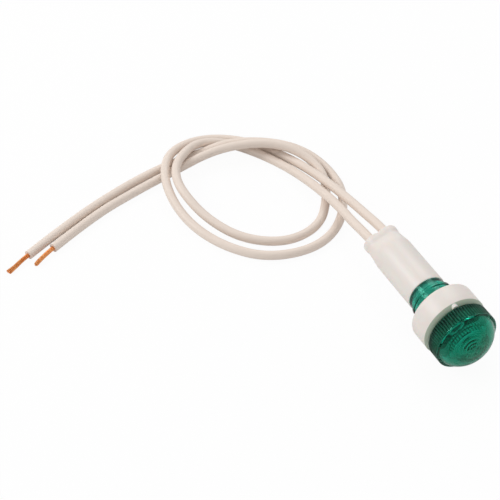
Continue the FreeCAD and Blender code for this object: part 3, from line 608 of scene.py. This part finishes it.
def mark_grooves(mesh, slack=0.01):
    """Write the attribute groove: 0.5 at the band's crests, 1 in its grooves, else 0."""
    places = np.empty(len(mesh.vertices) * 3)
    mesh.vertices.foreach_get("co", places)
    x, y, z = places.reshape(-1, 3).T / MM
    reach = np.hypot(x, z - AXIS_HEIGHT)
    ahead = SEAT - y
    in_band = (reach > HEAD_RADIUS - FLUTE_DEPTH - slack) & (ahead > -slack)
    in_band &= ahead < FLUTE_FRONT + slack
    depth = np.where(in_band, 0.5 + 0.5 * (HEAD_RADIUS - reach) / FLUTE_DEPTH, 0)
    mark = mesh.attributes.new("groove", "FLOAT", "POINT")
    mark.data.foreach_set("value", np.clip(depth, 0, 1).astype(np.float32))


mark_grooves(lens.data)
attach(lens, "lamp")
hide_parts("lens_body")

# Retaining ring: white moulding pushed up the barrel's ribs. Its front edge is bevelled, and
# its front face and bevel are painted a grey-green shade for the shade and green light from the
# lens head that fall there; its back edge is rounded, and one small nib stands in the bevel.
RING_BORE = 6.3
RING_RADIUS = 9.45
RING_FRONT = -0.05
RING_BACK = -8.0
RING_CHAMFER = 1.2
RING_FILLET = 0.9
RING_LEAD_IN = 0.5
RING_EDGE = 0.1
RING_ROW = -4.0
RING_COLUMNS = 192
NIB_COLUMNS = 32
NIB_FILLET = 0.2
NIB_INSET = 0.1
NIB_RADIUS = 0.95
NIB_LENGTH = 1.5
NIB_ANGLE = math.radians(99)

WHITE_FINISH = dict(colour=(0.80, 0.745, 0.70), shade=(0.775, 0.715, 0.665), roughness=0.34,
                    IOR=1.5, Subsurface_Weight=0.15, Subsurface_Scale=0.0012)
# Painted shade: this grey-green colour stands in for the shade and green light from the lens
# head on the ring's bevel.
BEVEL_PAINTED_SHADE = (0.40, 0.465, 0.365, 1)
PAINTED_SHADE_BLEND = 0.05 * MM
white = moulded("white_moulding", **WHITE_FINISH)
ring_white_with_painted_shade = moulded("ring_moulding_painted_shade", **WHITE_FINISH)
nodes, links = ring_white_with_painted_shade.node_tree.nodes, ring_white_with_painted_shade.node_tree.links
surface = nodes["Principled BSDF"]
# Painted shade mask: the ring's front face and bevel, ahead of the bevel's outer edge, take the
# painted grey-green shade.
place = nodes.new("ShaderNodeTexCoord")
apart = nodes.new("ShaderNodeSeparateXYZ")
bevel_edge = (SEAT - RING_FRONT + RING_CHAMFER) * MM
painted_bevel_shade = add_node(nodes, "ShaderNodeMix", data_type="RGBA")
painted_bevel_shade.inputs[MIX_SECOND].default_value = BEVEL_PAINTED_SHADE
links.new(place.outputs["Object"], apart.inputs["Vector"])
links.new(ranged(nodes, links, apart.outputs["Y"],
                 (bevel_edge - PAINTED_SHADE_BLEND, bevel_edge + PAINTED_SHADE_BLEND), (1.0, 0.0)),
          painted_bevel_shade.inputs[MIX_SHARE])
links.new(surface.inputs["Base Color"].links[0].from_socket, painted_bevel_shade.inputs[MIX_FIRST])
links.new(painted_bevel_shade.outputs[MIX_RESULT], surface.inputs["Base Color"])

ring_profile = np.vstack([
    [(RING_BORE, RING_FRONT - RING_EDGE), (RING_BORE + RING_EDGE, RING_FRONT)],
    [(RING_RADIUS - RING_CHAMFER - RING_EDGE, RING_FRONT),
     (RING_RADIUS - RING_CHAMFER, RING_FRONT - 0.02)],
    [(RING_RADIUS - 0.04, RING_FRONT - RING_CHAMFER + 0.04),
     (RING_RADIUS, RING_FRONT - RING_CHAMFER - 0.06), (RING_RADIUS, RING_ROW)],
    arc((RING_RADIUS - RING_FILLET, RING_BACK + RING_FILLET), RING_FILLET, 0, -math.pi / 2, 9),
    [(RING_BORE + RING_LEAD_IN, RING_BACK), (RING_BORE, RING_BACK + RING_LEAD_IN)],
])
ring = turned("push_on_ring", ring_profile, RING_COLUMNS, ring_white_with_painted_shade)
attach(ring, "ring")
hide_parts("retaining_ring")

nib_profile = np.vstack([
    [(0, RING_FRONT)],
    arc((NIB_RADIUS - NIB_FILLET, RING_FRONT - NIB_FILLET), NIB_FILLET, math.pi / 2, 0, 6),
    [(NIB_RADIUS, RING_FRONT - NIB_LENGTH), (0, RING_FRONT - NIB_LENGTH)],
])
nib_reach = RING_RADIUS - NIB_RADIUS - NIB_INSET
turn = np.linspace(0, math.tau, NIB_COLUMNS, endpoint=False)
across = nib_reach * math.cos(NIB_ANGLE) + nib_profile[:, :1] * np.cos(turn)
above = nib_reach * math.sin(NIB_ANGLE) + nib_profile[:, :1] * np.sin(turn)
height = np.repeat(nib_profile[:, 1:], NIB_COLUMNS, axis=1)
nib = add_mesh("ring_nib", to_row_frame(across, above, height),
               grid_faces(len(nib_profile), NIB_COLUMNS), white)
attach(nib, "ring")

# Rear sleeve: white moulding over the spigot. Its round tube flattens into a neck, and a
# slightly fuller collar grips the two leads, with a shallow saddle between them.
SLEEVE_RADIUS = 5.75
SLEEVE_BORE = 4.95
SLEEVE_FILLET = 0.3
SLEEVE_ROWS = (-18.5, -22.5, -26.5, -29.5)
NECK_START = SLEEVE_FRONT - 17.0
NECK_END = NECK_START - 5.6
SLEEVE_BACK = SLEEVE_FRONT - 25.35
HOLLOW_ROW = -21
HOLLOW_END = SLEEVE_FRONT - 16.2
SLOT_END = SLEEVE_BACK + 4.35
SLOT_RADIUS = 1.6
SLOT_ROW = 0.75
COLLAR_RADIUS = 2.9
COLLAR_SWELL = 0.2
SWELL_LENGTH = 1.3
COLLAR_FILLET = 0.7
HALF_PITCH = 2.3
ROLL = math.radians(20)
COUNTERSINK = 0.35
COUNTERSINK_RADIUS = 1.85
COUNTERSINK_WIDTH = 0.45
SADDLE_DEPTH = 0.5
SADDLE_HALF = 0.8


def oval_rows(rows):
    """Outlines of the sleeve: rows of (round radius, end radius, share, height).

    Each outline is a circle of the round radius turned by its share into a slot, whose ends
    have the end radius about the two leads and whose sides are straight. The circle's
    sixth parts above and below become the slot's sides.
    """
    ends, sides = 33, 15
    turn = np.concatenate([np.linspace(-60, 60, ends), np.linspace(60, 120, sides + 2)[1:-1],
                           np.linspace(120, 240, ends), np.linspace(240, 300, sides + 2)[1:-1]])
    turn = np.radians(turn)
    end_turn = np.radians(np.linspace(-90, 90, ends))
    side_way = np.linspace(1, -1, sides + 2)[1:-1]
    slot_x = np.concatenate([HALF_PITCH + 0 * end_turn, HALF_PITCH * side_way,
                             -HALF_PITCH + 0 * end_turn, -HALF_PITCH * side_way])
    lift_x = np.concatenate([np.cos(end_turn), 0 * side_way, -np.cos(end_turn), 0 * side_way])
    lift_y = np.concatenate([np.sin(end_turn), 1 + 0 * side_way, -np.sin(end_turn),
                             -1 + 0 * side_way])
    round_radius, end_radius, share, height = (np.array(rows)[:, [k]] for k in range(4))
    x = (1 - share) * round_radius * np.cos(turn) + share * (slot_x + end_radius * lift_x)
    y = (1 - share) * round_radius * np.sin(turn) + share * end_radius * lift_y
    return x, y, height + 0 * x


def gently(way):
    """The smooth step 3w^2 - 2w^3 from 0 to 1."""
    return 3 * way ** 2 - 2 * way ** 3


def eased(start, end, count, gentleness=0.65):
    """Shares from 0 to 1 that leave and arrive fairly gently, with their heights."""
    way = np.linspace(0, 1, count)
    return (1 - gentleness) * way + gentleness * gently(way), start + (end - start) * way


fillet_centre = (SLEEVE_RADIUS - SLEEVE_FILLET, SLEEVE_FRONT - SLEEVE_FILLET)
outer = [(SLEEVE_BORE, 0, 0, SLEEVE_FRONT), (fillet_centre[0], 0, 0, SLEEVE_FRONT)]
outer += [(radius, 0, 0, height)
          for radius, height in arc(fillet_centre, SLEEVE_FILLET, math.pi / 2, 0, 6)[1:]]
outer += [(SLEEVE_RADIUS, 0, 0, height) for height in SLEEVE_ROWS]
outer += [(SLEEVE_RADIUS, COLLAR_RADIUS, share, height)
          for share, height in zip(*eased(NECK_START, NECK_END, 22))]
lip = COLLAR_RADIUS + COLLAR_SWELL
outer += [(0, COLLAR_RADIUS + COLLAR_SWELL * gently(way), 1, NECK_END - SWELL_LENGTH * way)
          for way in (0.15, 0.3, 0.45, 0.6, 0.75, 0.9, 1)]
outer += [(0, radius, 1, height) for radius, height in
          arc((lip - COLLAR_FILLET, SLEEVE_BACK + COLLAR_FILLET), COLLAR_FILLET, 0,
              -math.pi / 2, 10)]
back = [(0, radius, 1, SLEEVE_BACK) for radius in np.linspace(lip - COLLAR_FILLET, 0, 22)[1:]]
hollow = [(SLEEVE_BORE, 0, 0, HOLLOW_ROW), (SLEEVE_BORE, 0, 0, HOLLOW_END),
          (SLEEVE_BORE, SLOT_RADIUS, 1, HOLLOW_END), (SLEEVE_BORE, SLOT_RADIUS, 1, SLOT_END),
          (SLEEVE_BORE, SLOT_ROW, 1, SLOT_END), (SLEEVE_BORE, 0, 1, SLOT_END)]
x, y, height = oval_rows(hollow[::-1] + outer + back)
at_back = height < SLEEVE_BACK + TINY
off_lead = np.hypot(np.abs(x) - HALF_PITCH, y)
countersink = COUNTERSINK * np.clip((COUNTERSINK_RADIUS - off_lead) / COUNTERSINK_WIDTH, 0, 1)
saddle = SADDLE_DEPTH * np.clip(1 - (x / SADDLE_HALF) ** 2, 0, 1)
near_back = np.clip((SLEEVE_BACK + COLLAR_FILLET - height) / COLLAR_FILLET, 0, 1)
height = height + np.where(at_back, countersink, 0) + saddle * near_back
sleeve = add_mesh("rear_sleeve_moulding",
                  to_row_frame(x * math.cos(ROLL) - y * math.sin(ROLL),
                               x * math.sin(ROLL) + y * math.cos(ROLL), height),
                  grid_faces(*x.shape), white, 40)
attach(sleeve, "lamp")
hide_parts("rear_sleeve")

# Inner pieces, seen through the green moulding: white bulb holder, glow lamp with its two
# electrodes, and behind them the wires, resistor and crimps in the sleeve.
holder_white = moulded("holder_white", (0.82, 0.81, 0.78), (0.76, 0.75, 0.72), 0.4, IOR=1.5)
tinned = moulded("tinned_wire", (0.72, 0.72, 0.71), (0.60, 0.60, 0.59), 0.25, 700, Metallic=1.0)
nickel = moulded("coated_nickel", (0.50, 0.50, 0.50), (0.38, 0.38, 0.39), 0.38, 900,
                 Metallic=0.9)
crimp_metal = moulded("tinned_brass", (0.74, 0.71, 0.64), (0.64, 0.60, 0.52), 0.28, 500,
                      Metallic=1.0)
lacquer = moulded("resistor_lacquer", (0.70, 0.55, 0.36), (0.64, 0.49, 0.31), 0.35, 300)
tubing = moulded("insulating_tube", (0.80, 0.79, 0.76), (0.75, 0.74, 0.70), 0.45, 200)

bulb_glass, nodes, links, surface = new_material("bulb_glass")
surface.inputs["Base Color"].default_value = (0.97, 0.99, 0.98, 1)
surface.inputs["Transmission Weight"].default_value = 1.0
surface.inputs["IOR"].default_value = 1.5
smear = object_noise(nodes, links, 300.0, 2.0)
links.new(ranged(nodes, links, smear, (0.3, 0.7), (0.01, 0.05)), surface.inputs["Roughness"])

INNER_FINISH = {
    "bulb_holder": holder_white,
    "neon_envelope": bulb_glass,
    "electrode_1": nickel,
    "electrode_2": nickel,
    "bulb_lead_1": tinned,
    "bulb_lead_2": tinned,
    "resistor_lead_front": tinned,
    "resistor_lead_rear": tinned,
    "ballast_resistor": lacquer,
    "resistor_sleeving": tubing,
    "crimp_1": crimp_metal,
    "crimp_2": crimp_metal,
    "conductor_1": copper,
    "conductor_2": copper,
}
for node, finish in INNER_FINISH.items():
    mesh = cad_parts[node].data
    mesh.materials.clear()
    mesh.materials.append(finish)
